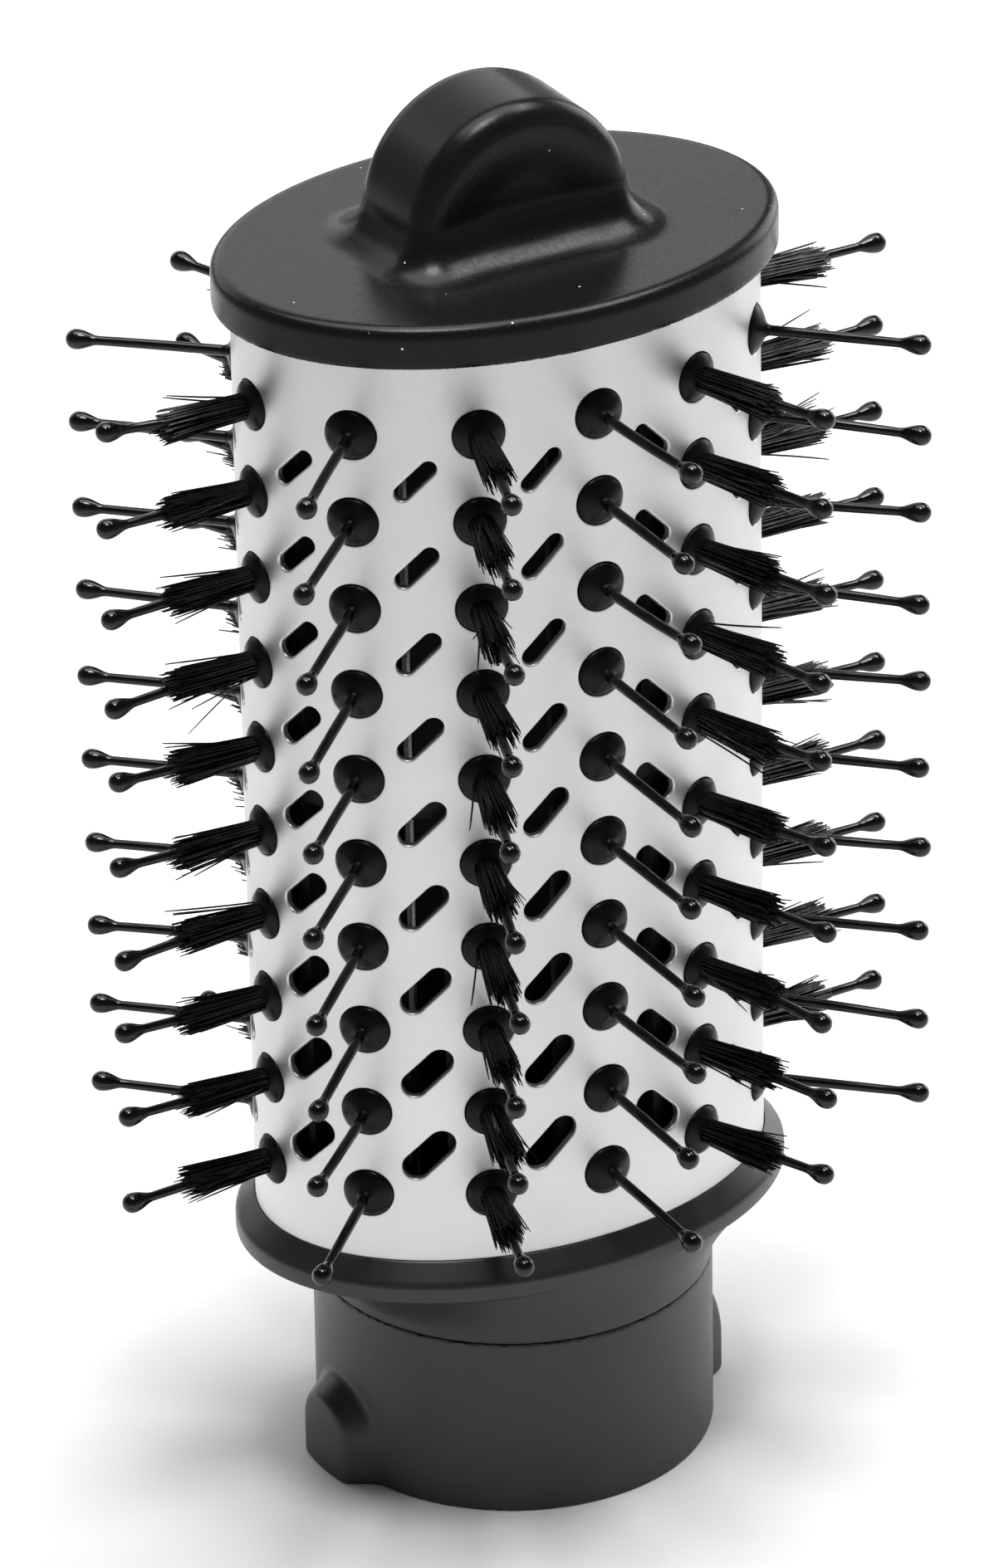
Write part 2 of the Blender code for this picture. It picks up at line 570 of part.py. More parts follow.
def make_seal_ring():
    """Rubber face seal on the spigot's end, for the handle's air outlet."""
    shape = bmesh.new()
    top = SPIGOT_BOTTOM - GAP
    bottom = top - SEAL_THICKNESS
    inner, outer = SPIGOT_BORE + SEAL_INSET, SPIGOT_RADIUS - SEAL_INSET
    section = [(inner, bottom), (outer, bottom), (outer, top), (inner, top)]
    loft(shape, [round_ring(radius, radius, z) for radius, z in section], closed=True)
    add_piece("seal_ring", shape, "seal_rubber")


make_cool_tip()
make_heat_shield()
make_tie_screws()
make_barrel()
make_core_frame()
for column in range(COLUMNS):
    make_strip(column)
make_base_neck()
make_lock_collar()
make_retaining_ring()
make_detent_spring()
make_seal_ring()
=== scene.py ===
"""Looks of the oval hot air brush head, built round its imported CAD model, in metres."""

import math

import bmesh
import bpy
import numpy as np
from mathutils import Matrix, Vector


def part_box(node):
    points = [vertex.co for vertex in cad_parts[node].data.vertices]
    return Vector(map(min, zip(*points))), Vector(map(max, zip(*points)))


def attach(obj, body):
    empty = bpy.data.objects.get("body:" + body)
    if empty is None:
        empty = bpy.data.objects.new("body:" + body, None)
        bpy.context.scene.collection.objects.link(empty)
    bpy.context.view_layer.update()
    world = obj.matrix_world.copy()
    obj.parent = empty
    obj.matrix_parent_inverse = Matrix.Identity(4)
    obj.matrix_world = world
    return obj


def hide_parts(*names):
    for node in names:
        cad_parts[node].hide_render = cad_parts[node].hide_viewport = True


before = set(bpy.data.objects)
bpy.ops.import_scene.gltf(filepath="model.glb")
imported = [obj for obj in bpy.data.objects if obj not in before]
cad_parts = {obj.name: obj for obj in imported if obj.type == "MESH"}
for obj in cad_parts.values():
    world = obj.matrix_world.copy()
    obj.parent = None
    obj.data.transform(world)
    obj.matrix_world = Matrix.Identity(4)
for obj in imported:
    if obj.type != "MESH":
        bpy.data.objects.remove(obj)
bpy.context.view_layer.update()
MM = 0.001

# Driving dimensions. Heights come from the frame where a CAD node has them.
GAP = 0.3 * MM
BARREL_A, BARREL_B = 32.5 * MM, 23.0 * MM  # half axes of the barrel's outer oval
BARREL_WALL = 0.9 * MM
BARREL_BOTTOM, BARREL_TOP = (corner.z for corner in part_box("barrel"))
COLUMNS, ROWS = 12, 10
ROW_TOP, ROW_PITCH = 142.7 * MM, 10.93 * MM
HOLE_RADIUS = 3.0 * MM
SLOT_SPINE, SLOT_WIDTH_TOP, SLOT_WIDTH_BOTTOM = 4.3 * MM, 1.8 * MM, 3.4 * MM
PIN_REACH, TUFT_PIN_REACH = 20.7 * MM, 19.8 * MM
BALL_LENGTH, BALL_RADIUS = 3.8 * MM, 1.22 * MM
STEM_RADIUS, STEM_TIP_RADIUS = 0.65 * MM, 0.56 * MM
PIN_LEAN = 0.42 * MM  # usual sideways drift of a pin's tip
TUFT_LENGTH, TUFT_FILAMENTS = 11.8 * MM, 150
TUFT_ROOT_RADIUS, TUFT_END_RADIUS = 1.45 * MM, 1.95 * MM
FILAMENT_RADIUS, STRAY_SHARE = 0.115 * MM, 0.06
CAP_A, CAP_B = 34.6 * MM, 25.3 * MM
CAP_BOTTOM, CAP_TOP, CAP_EDGE = 152.1 * MM, 157.1 * MM, 1.4 * MM
FIN_RADIUS, FIN_HALF_THICKNESS = 14.3 * MM, 7.5 * MM
FIN_EDGE, FIN_DISH = 2.9 * MM, 0.4 * MM  # rounding of its edges, depth of the dish in each face
FIN_FOOT_SIDE, FIN_FOOT_FRONT = 4.4 * MM, 6.2 * MM  # fillets where the fin meets the plate
FIN_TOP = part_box("cool_tip_cap")[1].z
FLANGE_A, FLANGE_B = 35.0 * MM, 25.5 * MM
FLANGE_TOP, FLANGE_CREASE, FLANGE_LIP = 35.6 * MM, 31.0 * MM, 0.45 * MM
SPIGOT_RADIUS, BORE_RADIUS, SPIGOT_BOTTOM = 19.6 * MM, 17.6 * MM, 6.0 * MM
COLLAR_RADIUS = 24.0 * MM
COLLAR_BOTTOM, COLLAR_TOP = (corner.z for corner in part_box("lock_collar"))
BUMP_RADIUS, BUMP_HALF_WIDTH, BUMP_SPRING, BUMP_SLOPE = 26.9 * MM, 4.9 * MM, 4.7 * MM, 0.80
BAYONETS = math.radians(23), math.radians(203)  # middles of the two grooves
BAYONET_HALF, CHANNEL_MIDDLE, CHANNEL_HALF = math.radians(21), math.radians(72.5), math.radians(23.5)
RNG = np.random.default_rng(20)


# Mesh helpers


def add_piece(name, points, faces, body, replaced, material):
    """A smooth piece from its points and faces, riding on a CAD body and standing for a CAD node."""
    mesh = bpy.data.meshes.new(name)
    mesh.from_pydata([tuple(p) for p in np.asarray(points, float)], [], faces)
    shape = bmesh.new()
    shape.from_mesh(mesh)
    bmesh.ops.remove_doubles(shape, verts=shape.verts, dist=0.002 * MM)
    bmesh.ops.recalc_face_normals(shape, faces=shape.faces)
    shape.to_mesh(mesh)
    shape.free()
    mesh.shade_smooth()
    mesh.set_sharp_from_angle(angle=math.radians(50))
    piece = bpy.data.objects.new(name, mesh)
    mesh.materials.append(material)
    bpy.context.scene.collection.objects.link(piece)
    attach(piece, body)
    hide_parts(replaced)


class Builder:
    """Collects points and faces of several shells."""

    def __init__(self):
        self.points, self.faces, self.count = [], [], 0

    def add(self, points, faces):
        points = np.asarray(points, float).reshape(-1, 3)
        self.points.append(points)
        self.faces += [[i + self.count for i in face] for face in faces]
        self.count += len(points)

    def grid(self, points, wrap_rows=False, wrap_columns=False):
        """A grid of points, rows by columns, skinned with quads."""
        points = np.asarray(points, float)
        rows, columns = points.shape[:2]
        index = np.arange(rows * columns).reshape(rows, columns)
        if wrap_rows:
            index = np.vstack([index, index[:1]])
        if wrap_columns:
            index = np.hstack([index, index[:, :1]])
        quads = np.stack([index[:-1, :-1], index[:-1, 1:], index[1:, 1:], index[1:, :-1]], -1)
        self.add(points, quads.reshape(-1, 4).tolist())

    def sweep(self, paths, radii, sides):
        """Round rods with closed ends: paths is rods by stations by 3, radii is rods by stations."""
        paths, radii = np.asarray(paths, float), np.asarray(radii, float)
        rods, stations = paths.shape[:2]
        along = paths[:, -1] - paths[:, 0]
        along /= np.linalg.norm(along, axis=1, keepdims=True)
        side = np.cross(along, (0.31, 0.17, 0.93))
        side /= np.linalg.norm(side, axis=1, keepdims=True)
        other = np.cross(along, side)
        turn = np.arange(sides) * math.tau / sides
        ring = (np.cos(turn)[None, :, None] * side[:, None] + np.sin(turn)[None, :, None] * other[:, None])
        points = paths[:, :, None] + radii[:, :, None, None] * ring[:, None]
        here = np.arange(stations * sides).reshape(stations, sides)
        after = np.roll(here, -1, axis=1)
        quads = np.stack([here[:-1], after[:-1], after[1:], here[1:]], -1).reshape(-1, 4).tolist()
        faces = quads + [here[0][::-1].tolist(), here[-1].tolist()]
        for rod in range(rods):
            self.add(points[rod], faces)

    def rings(self, rings, closed):
        """Skin through closed rings of equally many points, with end caps unless it closes on itself."""
        rings = np.asarray(rings, float)
        count, sides = rings.shape[:2]
        start = self.count
        self.grid(rings, wrap_rows=closed, wrap_columns=True)
        if not closed:
            self.faces.append(list(range(start, start + sides)))
            self.faces.append(list(range(start + (count - 1) * sides, start + count * sides))[::-1])


def surface_net(field, low, high, cell):
    """Quads on the zero surface of a distance field that is negative inside the solid."""
    axes = [np.arange(a - cell, b + 2 * cell, cell) for a, b in zip(low, high)]
    grid = np.meshgrid(*axes, indexing="ij")
    values = field(*grid)
    inside = values < 0
    cells = tuple(n - 1 for n in values.shape)
    total, crossings = np.zeros(cells + (3,)), np.zeros(cells)
    steps = np.eye(3, dtype=int)

    def corner(array, at):
        return array[tuple(slice(at[k], at[k] + cells[k]) for k in range(3))]

    for axis in range(3):
        others = [steps[k] for k in range(3) if k != axis]
        for i in (0, 1):
            for j in (0, 1):
                start = i * others[0] + j * others[1]
                end = start + steps[axis]
                one, two = corner(values, start), corner(values, end)
                cut = corner(inside, start) != corner(inside, end)
                share = np.where(cut, one / np.where(cut, one - two, 1.0), 0.0)
                for k in range(3):
                    total[..., k] += np.where(cut, start[k] + share * steps[axis][k], 0.0)
                crossings += cut
    used = crossings > 0
    index = np.full(cells, -1)
    index[used] = np.arange(used.sum())
    where = np.argwhere(used)
    origin = np.array([axis[0] for axis in axes])
    points = origin + cell * (where + total[used] / crossings[used][:, None])
    quads = []
    for axis in range(3):
        u, v = (axis + 1) % 3, (axis + 2) % 3
        inner = [slice(1, -1)] * 3
        inner[axis] = slice(0, cells[axis])
        ahead = list(inner)
        ahead[axis] = slice(1, cells[axis] + 1)
        first, second = inside[tuple(inner)], inside[tuple(ahead)]
        for cut, flipped in ((first & ~second, False), (~first & second, True)):
            at = np.argwhere(cut) + np.array([0 if k == axis else 1 for k in range(3)])
            round_edge = ((0, 0), (1, 0), (1, 1), (0, 1))
            ring = [index[tuple((at - i * steps[u] - j * steps[v]).T)] for i, j in round_edge]
            quads.append(np.stack(ring[::-1] if flipped else ring, -1))
    nudge, furthest, least_slope = cell * 0.05, cell / 3, 0.2
    for _ in range(4):
        here = field(*points.T)
        slope = np.stack([(field(*(points + nudge * steps[k]).T) - field(*(points - nudge * steps[k]).T))
                          / (2 * nudge) for k in range(3)], -1)
        move = -here[:, None] * slope / np.maximum((slope ** 2).sum(1), least_slope)[:, None]
        points = points + np.clip(move, -furthest, furthest)
    return points, np.vstack(quads).tolist()


def round_union(a, b, radius):
    """Join of two solids with a concave fillet."""
    blend = np.hypot(np.maximum(radius - a, 0), np.maximum(radius - b, 0))
    return np.maximum(radius, np.minimum(a, b)) - blend


def round_overlap(a, b, radius):
    """What two solids share, with its edge rounded."""
    blend = np.hypot(np.maximum(radius + a, 0), np.maximum(radius + b, 0))
    return np.minimum(-radius, np.maximum(a, b)) + blend


def ease_in(share):
    """Smooth rise from 0 to 1."""
    share = np.clip(share, 0.0, 1.0)
    return share * share * (3.0 - 2.0 * share)


def oval_distance(x, y, a, b):
    """Distance from an ellipse, close to exact near its outline and negative inside."""
    scaled = np.hypot(x / a, y / b)
    slope = np.maximum(np.hypot(x / a ** 2, y / b ** 2), 1e-6)
    return scaled * (scaled - 1.0) / slope


def arch_distance(u, v, spring, half_width):
    """Distance from an arch that is straight below its spring line and round above it."""
    return np.where(v > spring, np.hypot(u, v - spring), np.abs(u)) - half_width


# The barrel's oval, by distance round it from +X

OVAL_STEPS = 7200
OVAL_ANGLES = np.linspace(0.0, math.tau, OVAL_STEPS + 1)
OVAL_MIDDLES = (OVAL_ANGLES[1:] + OVAL_ANGLES[:-1]) / 2
OVAL_SPEEDS = np.hypot(BARREL_A * np.sin(OVAL_MIDDLES), BARREL_B * np.cos(OVAL_MIDDLES))
OVAL_LENGTHS = np.concatenate([[0.0], np.cumsum(OVAL_SPEEDS) * math.tau / OVAL_STEPS])
PERIMETER = OVAL_LENGTHS[-1]


def oval_frame(distance):
    """Point and outward normal in plan at this distance round the barrel."""
    angle = np.interp(np.mod(distance, PERIMETER), OVAL_LENGTHS, OVAL_ANGLES)
    normal = np.stack([np.cos(angle) / BARREL_A, np.sin(angle) / BARREL_B], -1)
    normal /= np.linalg.norm(normal, axis=-1, keepdims=True)
    return np.stack([BARREL_A * np.cos(angle), BARREL_B * np.sin(angle)], -1), normal


def on_barrel(distance, height, depth):
    """Points on the barrel, sunk by depth along its normal."""
    point, normal = oval_frame(distance)
    plan = point - normal * np.asarray(depth)[..., None]
    return np.concatenate([plan, np.broadcast_to(height, plan.shape[:-1])[..., None]], -1)


def row_height(row):
    return ROW_TOP - row * ROW_PITCH


# Materials


def new_material(name):
    material = bpy.data.materials.new(name)
    material.use_nodes = True
    nodes, links = material.node_tree.nodes, material.node_tree.links
    return material, nodes, links, nodes["Principled BSDF"]


def noise(nodes, links, scale, detail=4.0, roughness=0.55, stretch=None):
    """Noise in the row frame, with scale in cycles a millimetre."""
    place = nodes.new("ShaderNodeTexCoord")
    texture = nodes.new("ShaderNodeTexNoise")
    texture.inputs["Scale"].default_value = scale * 1000.0
    texture.inputs["Detail"].default_value = detail
    texture.inputs["Roughness"].default_value = roughness
    source = place.outputs["Object"]
    if stretch:
        mapping = nodes.new("ShaderNodeMapping")
        mapping.inputs["Scale"].default_value = stretch
        links.new(source, mapping.inputs["Vector"])
        source = mapping.outputs["Vector"]
    links.new(source, texture.inputs["Vector"])
    return texture


def ramp(nodes, links, source, stops):
    """Colour ramp of (position, grey or colour) stops."""
    node = nodes.new("ShaderNodeValToRGB")
    elements = node.color_ramp.elements
    while len(elements) < len(stops):
        elements.new(0.5)
    for element, (position, colour) in zip(elements, stops):
        element.position = position
        element.color = (*colour, 1.0) if isinstance(colour, tuple) else (colour, colour, colour, 1.0)
    links.new(source, node.inputs["Fac"])
    return node


def bump(nodes, links, shader, height, distance, strength=1.0, under=None):
    """Bump of a height in metres, over another bump."""
    node = nodes.new("ShaderNodeBump")
    node.inputs["Distance"].default_value = distance
    node.inputs["Strength"].default_value = strength
    links.new(height, node.inputs["Height"])
    if under:
        links.new(under.outputs["Normal"], node.inputs["Normal"])
    links.new(node.outputs["Normal"], shader.inputs["Normal"])
    return node


def moulded_plastic(name, colour, roughness, grain, grain_height, dust=0.0, spread=0.25, specular=0.5):
    """Moulded plastic with a spark-eroded grain, uneven gloss and, with dust, pale specks."""
    material, nodes, links, shader = new_material(name)
    shader.inputs["Specular IOR Level"].default_value = specular
    cloud = noise(nodes, links, 0.05, 3.0)
    dark = tuple(c * (1 - spread) for c in colour)
    light = tuple(c * (1 + spread) for c in colour)
    tint = ramp(nodes, links, cloud.outputs["Fac"], ((0.3, dark), (0.7, light)))
    base = tint.outputs["Color"]
    if dust:
        specks_a_metre, widest, cut = 260.0, 0.11, 0.027
        cells = nodes.new("ShaderNodeTexVoronoi")
        cells.inputs["Scale"].default_value = specks_a_metre
        place = nodes.new("ShaderNodeTexCoord")
        links.new(place.outputs["Object"], cells.inputs["Vector"])
        size = noise(nodes, links, 0.11, 2.0)
        reach = nodes.new("ShaderNodeMath")
        reach.operation = "MULTIPLY_ADD"
        reach.inputs[1].default_value = widest
        reach.inputs[2].default_value = -cut
        links.new(size.outputs["Fac"], reach.inputs[0])
        speck = nodes.new("ShaderNodeMath")
        speck.operation = "LESS_THAN"
        links.new(cells.outputs["Distance"], speck.inputs[0])
        links.new(reach.outputs["Value"], speck.inputs[1])
        mix = nodes.new("ShaderNodeMix")
        mix.data_type = "RGBA"
        links.new(speck.outputs["Value"], mix.inputs["Factor"])
        links.new(base, mix.inputs["A"])
        mix.inputs["B"].default_value = (dust, dust, dust, 1.0)
        base = mix.outputs["Result"]
    links.new(base, shader.inputs["Base Color"])
    fine = noise(nodes, links, grain, 3.0, 0.6)
    gloss = ramp(nodes, links, fine.outputs["Fac"], ((0.3, roughness - 0.06), (0.7, roughness + 0.06)))
    links.new(gloss.outputs["Color"], shader.inputs["Roughness"])
    bump(nodes, links, shader, fine.outputs["Fac"], grain_height)
    return material


def aluminium():
    """Satin aluminium with a fine blasted grain and faint upright draw lines."""
    material, nodes, links, shader = new_material("satin_aluminium")
    shader.inputs["Metallic"].default_value = 1.0
    cloud = noise(nodes, links, 0.035, 4.0)
    dull, bright = (0.60, 0.605, 0.60), (0.68, 0.685, 0.68)
    tint = ramp(nodes, links, cloud.outputs["Fac"], ((0.3, dull), (0.7, bright)))
    links.new(tint.outputs["Color"], shader.inputs["Base Color"])
    grain = noise(nodes, links, 6.0, 4.0, 0.65)
    gloss = ramp(nodes, links, grain.outputs["Fac"], ((0.25, 0.36), (0.75, 0.50)))
    links.new(gloss.outputs["Color"], shader.inputs["Roughness"])
    lines = noise(nodes, links, 2.2, 3.0, 0.6, stretch=(1.0, 1.0, 0.04))
    under = bump(nodes, links, shader, lines.outputs["Fac"], 0.002 * MM)
    bump(nodes, links, shader, grain.outputs["Fac"], 0.012 * MM, under=under)
    return material


def nylon(name, colour, roughness, mottle, specular):
    """Glossy nylon with slight flow marks."""
    material, nodes, links, shader = new_material(name)
    shader.inputs["Specular IOR Level"].default_value = specular
    cloud = noise(nodes, links, mottle, 3.0)
    tint = ramp(nodes, links, cloud.outputs["Fac"],
                ((0.3, tuple(c * 0.7 for c in colour)), (0.7, tuple(c * 1.3 for c in colour))))
    links.new(tint.outputs["Color"], shader.inputs["Base Color"])
    gloss = ramp(nodes, links, cloud.outputs["Fac"], ((0.3, roughness * 0.75), (0.7, roughness * 1.25)))
    links.new(gloss.outputs["Color"], shader.inputs["Roughness"])
    bump(nodes, links, shader, cloud.outputs["Fac"], 0.004 * MM)
    return material


def steel():
    """Bright zinc-plated steel with a fine turned grain."""
    material, nodes, links, shader = new_material("zinc_steel")
    shader.inputs["Metallic"].default_value = 1.0
    grain = noise(nodes, links, 3.0, 4.0, 0.6)
    tint = ramp(nodes, links, grain.outputs["Fac"], ((0.3, (0.52, 0.52, 0.54)), (0.7, (0.66, 0.66, 0.68))))
    links.new(tint.outputs["Color"], shader.inputs["Base Color"])
    gloss = ramp(nodes, links, grain.outputs["Fac"], ((0.3, 0.24), (0.7, 0.38)))
    links.new(gloss.outputs["Color"], shader.inputs["Roughness"])
    return material


MAT_BARREL = aluminium()
MAT_CAP = moulded_plastic("cap_plastic", (0.006, 0.0054, 0.0066), 0.27, 2.2, 0.004 * MM,
                          dust=0.8, specular=0.2)
MAT_NECK = moulded_plastic("neck_plastic", (0.018, 0.018, 0.0177), 0.37, 3.0, 0.005 * MM)
MAT_COLLAR = moulded_plastic("collar_plastic", (0.017, 0.017, 0.0167), 0.39, 3.0, 0.005 * MM)
MAT_CORE = moulded_plastic("core_plastic", (0.02, 0.02, 0.021), 0.60, 2.0, 0.03 * MM)
MAT_SHIELD = moulded_plastic("shield_board", (0.30, 0.26, 0.20), 0.75, 1.2, 0.05 * MM)
MAT_RUBBER = moulded_plastic("seal_rubber", (0.014, 0.014, 0.014), 0.75, 2.5, 0.02 * MM)
MAT_PIN = nylon("pin_nylon", (0.003, 0.003, 0.0032), 0.14, 0.6, 0.40)
MAT_RAIL = nylon("rail_nylon", (0.003, 0.003, 0.0032), 0.34, 0.6, 0.16)
MAT_TUFT = nylon("tuft_nylon", (0.004, 0.004, 0.0043), 0.32, 0.9, 0.3)
MAT_STEEL = steel()


# The barrel

CELL_SIDE = 16  # segments along each side of a cell
CELL_STEP = ROW_PITCH / CELL_SIDE
CELL_WIDTH = PERIMETER / (2 * COLUMNS)


def cell_frame():
    """Points round a cell's edge, from its lower right corner, anticlockwise as seen from outside."""
    step = np.arange(CELL_SIDE) / CELL_SIDE
    right = np.stack([np.full(CELL_SIDE, 0.5), step - 0.5], -1)
    top = np.stack([0.5 - step, np.full(CELL_SIDE, 0.5)], -1)
    ring = np.vstack([right, top, -right, -top])
    return ring * (CELL_WIDTH, ROW_PITCH)


def hole_outline(grow):
    """Round hole, point for point with cell_frame."""
    turn = (np.arange(4 * CELL_SIDE) / (4 * CELL_SIDE)) * math.tau - math.pi / 4
    return (HOLE_RADIUS + grow) * np.stack([np.cos(turn), np.sin(turn)], -1)


def slot_outline(width, rising, grow):
    """Round-ended slot that leans at 45 degrees, rising to the right or to the left."""
    radius, half = width / 2 + grow, SLOT_SPINE / 2
    turn = np.linspace(-math.pi / 2, math.pi / 2, 40)
    end = np.stack([half + radius * np.cos(turn), radius * np.sin(turn)], -1)
    line = np.vstack([[(0.0, -radius)], end, -end, [(0.0, -radius)]])
    run = np.concatenate([[0.0], np.cumsum(np.linalg.norm(np.diff(line, axis=0), axis=1))])
    at = np.arange(4 * CELL_SIDE) / (4 * CELL_SIDE) * run[-1]
    outline = np.stack([np.interp(at, run, line[:, k]) for k in (0, 1)], -1)
    lean = math.pi / 4 if rising else 3 * math.pi / 4
    turned = outline @ np.array([[math.cos(lean), math.sin(lean)], [-math.sin(lean), math.cos(lean)]])
    return turned if rising else np.roll(turned, CELL_SIDE, axis=0)


def add_cell(builder, distance, height, outline):
    """One perforated cell of the barrel: outside, rolled rim, wall and inside."""
    edge = cell_frame()
    rim = 0.22 * MM
    halfway = (edge + outline(0.5 * MM)) / 2
    stations = [(edge, 0.0), (halfway, 0.0), (outline(0.4 * MM), 0.0), (outline(rim), 0.0)]
    for step in range(1, 5):
        turn = step * math.pi / 8
        stations.append((outline(rim * (1 - math.sin(turn))), rim * (1 - math.cos(turn))))
    stations += [(outline(0.0), BARREL_WALL - 0.08 * MM), (outline(0.08 * MM), BARREL_WALL),
                 (halfway, BARREL_WALL), (edge, BARREL_WALL)]
    builder.grid([on_barrel(distance + ring[:, 0], height + ring[:, 1], np.full(len(ring), depth))
                  for ring, depth in stations], wrap_columns=True)


def add_plain(builder, distance, low, high):
    """Plain stretch of barrel at an end of a column, outside and inside."""
    across = distance + (np.arange(CELL_SIDE + 1) / CELL_SIDE - 0.5) * CELL_WIDTH
    first = math.ceil((low - ROW_TOP) / CELL_STEP + 1e-6)
    last = math.floor((high - ROW_TOP) / CELL_STEP - 1e-6)
    heights = [low, *(ROW_TOP + k * CELL_STEP for k in range(first, last + 1)), high]
    heights = [h for i, h in enumerate(heights) if i == 0 or h - heights[i - 1] > 0.01 * MM]
    for depth in (0.0, BARREL_WALL):
        builder.grid([on_barrel(across, height, np.full(len(across), depth)) for height in heights])


def make_barrel():
    builder = Builder()
    half = ROW_PITCH / 2
    for column in range(2 * COLUMNS):
        distance = column * CELL_WIDTH
        holes = column % 2 == 0
        rows = [row + (0.0 if holes else 0.5) for row in range(ROWS if holes else ROWS - 1)]
        rising = column % COLUMNS < COLUMNS // 2
        for row in rows:
            width = SLOT_WIDTH_TOP + (SLOT_WIDTH_BOTTOM - SLOT_WIDTH_TOP) * row / (ROWS - 1)
            outline = hole_outline if holes else (lambda grow: slot_outline(width, rising, grow))
            add_cell(builder, distance, row_height(row), outline)
        add_plain(builder, distance, row_height(rows[0]) + half, BARREL_TOP)
        add_plain(builder, distance, BARREL_BOTTOM, row_height(rows[-1]) - half)
    around = np.arange(2 * COLUMNS * CELL_SIDE) / (2 * COLUMNS * CELL_SIDE) * PERIMETER - CELL_WIDTH / 2
    for height in (BARREL_BOTTOM, BARREL_TOP):
        builder.grid([on_barrel(around, height, np.full(len(around), depth)) for depth in (0.0, BARREL_WALL)],
                     wrap_columns=True)
    add_piece("perforated_barrel", np.vstack(builder.points), builder.faces, "head", "barrel",
              MAT_BARREL)


# The bristles


def pin_paths(roots, normals, reach, lean):
    """Stations along slightly bent pins with a drop-shaped ball at the end, and their radii."""
    sunk = 1.0 * MM
    neck = reach - BALL_LENGTH
    shares = np.linspace(0.0, 1.0, 9)
    stem_heights = -sunk + (neck + sunk) * shares
    swell = np.linspace(0.0, 1.0, 9)[1:]
    swell_heights = neck + (BALL_LENGTH - BALL_RADIUS) * swell
    fullness = 0.5 - 0.5 * np.cos(math.pi * swell ** 0.85)
    swell_radii = STEM_TIP_RADIUS + (BALL_RADIUS - STEM_TIP_RADIUS) * fullness
    turn = np.linspace(0.0, math.pi / 2 - 0.03, 7)[1:]
    heights = np.concatenate([stem_heights, swell_heights, reach - BALL_RADIUS * (1.0 - np.sin(turn))])
    stem_radii = STEM_RADIUS + (STEM_TIP_RADIUS - STEM_RADIUS) * shares
    radii = np.concatenate([stem_radii, swell_radii, BALL_RADIUS * np.cos(turn)])
    bend = (heights / reach).clip(0) ** 1.6
    paths = roots[:, None] + normals[:, None] * heights[None, :, None] + lean[:, None] * bend[None, :, None]
    return paths, np.tile(radii, (len(roots), 1))


def boss_paths(roots, normals):
    """Stations of the glossy domes that fill the round holes."""
    profile = ((2.93, -1.15), (2.93, -0.12), (2.88, 0.02), (2.72, 0.20), (2.42, 0.42), (2.0, 0.66),
               (1.5, 0.90), (1.05, 1.10), (0.80, 1.30), (0.66, 1.60), (0.60, 2.00))  # radius and height in mm
    radii, heights = (np.array(values) * MM for values in zip(*profile))
    return roots[:, None] + normals[:, None] * heights[None, :, None], np.tile(radii, (len(roots), 1))


def tuft_paths(root, normal):
    """Stations along one tuft's filaments: a bundle that opens like a cone, with ragged ends and strays."""
    across = np.array([-normal[1], normal[0], 0.0])
    up = np.array([0.0, 0.0, 1.0])
    count = TUFT_FILAMENTS
    index = np.arange(count)
    share_out = np.sqrt((index + 0.5) / count)
    turn = index * math.pi * (3 - math.sqrt(5)) + RNG.uniform(0, math.tau)
    aim = np.cos(turn)[:, None] * across + np.sin(turn)[:, None] * up
    start = TUFT_ROOT_RADIUS * share_out[:, None] * aim
    length = TUFT_LENGTH + RNG.normal(0, 0.45 * MM, count) - 0.8 * MM * share_out ** 3
    length -= RNG.exponential(0.4 * MM, count)
    end = TUFT_END_RADIUS * share_out[:, None] * aim
    stray = RNG.uniform(size=count) < STRAY_SHARE
    jitter = RNG.normal(0, 0.2 * MM, (count, 2)) + RNG.normal(0, 1.2 * MM, (count, 2)) * stray[:, None]
    drift = RNG.normal(0, 0.2 * MM, 2)
    end = end + (jitter[:, :1] + drift[0]) * across + (jitter[:, 1:] + drift[1]) * up
    share = np.linspace(0.0, 1.0, 6)
    sunk = 1.0 * MM
    height = -sunk + (length + sunk)[:, None] * share
    bend = (share ** 1.2)[None, :, None]
    paths = root + start[:, None] * (1 - bend) + end[:, None] * bend + height[:, :, None] * normal
    radii = np.full((count, 6), FILAMENT_RADIUS) * np.array([1.0, 1.0, 1.0, 1.0, 0.95, 0.6])
    return paths, radii


def add_rail(builder, distance, bottom, top):
    """Rounded rail behind the barrel's wall."""
    half, thick, edge = 3.1 * MM, 1.8 * MM, 0.3 * MM
    outer = BARREL_WALL + GAP
    inner = outer + thick
    turns = [(half - edge, outer), (half, outer + edge), (half, inner - edge), (half - edge, inner),
             (edge - half, inner), (-half, inner - edge), (-half, outer + edge), (edge - half, outer)]
    point, normal = oval_frame(distance)
    along = np.array([-normal[1], normal[0]])
    plan = np.array([point + along * u - normal * depth for u, depth in turns])
    rings = [np.column_stack([plan, np.full(len(plan), z)]) for z in (bottom, top)]
    builder.rings(rings, closed=False)


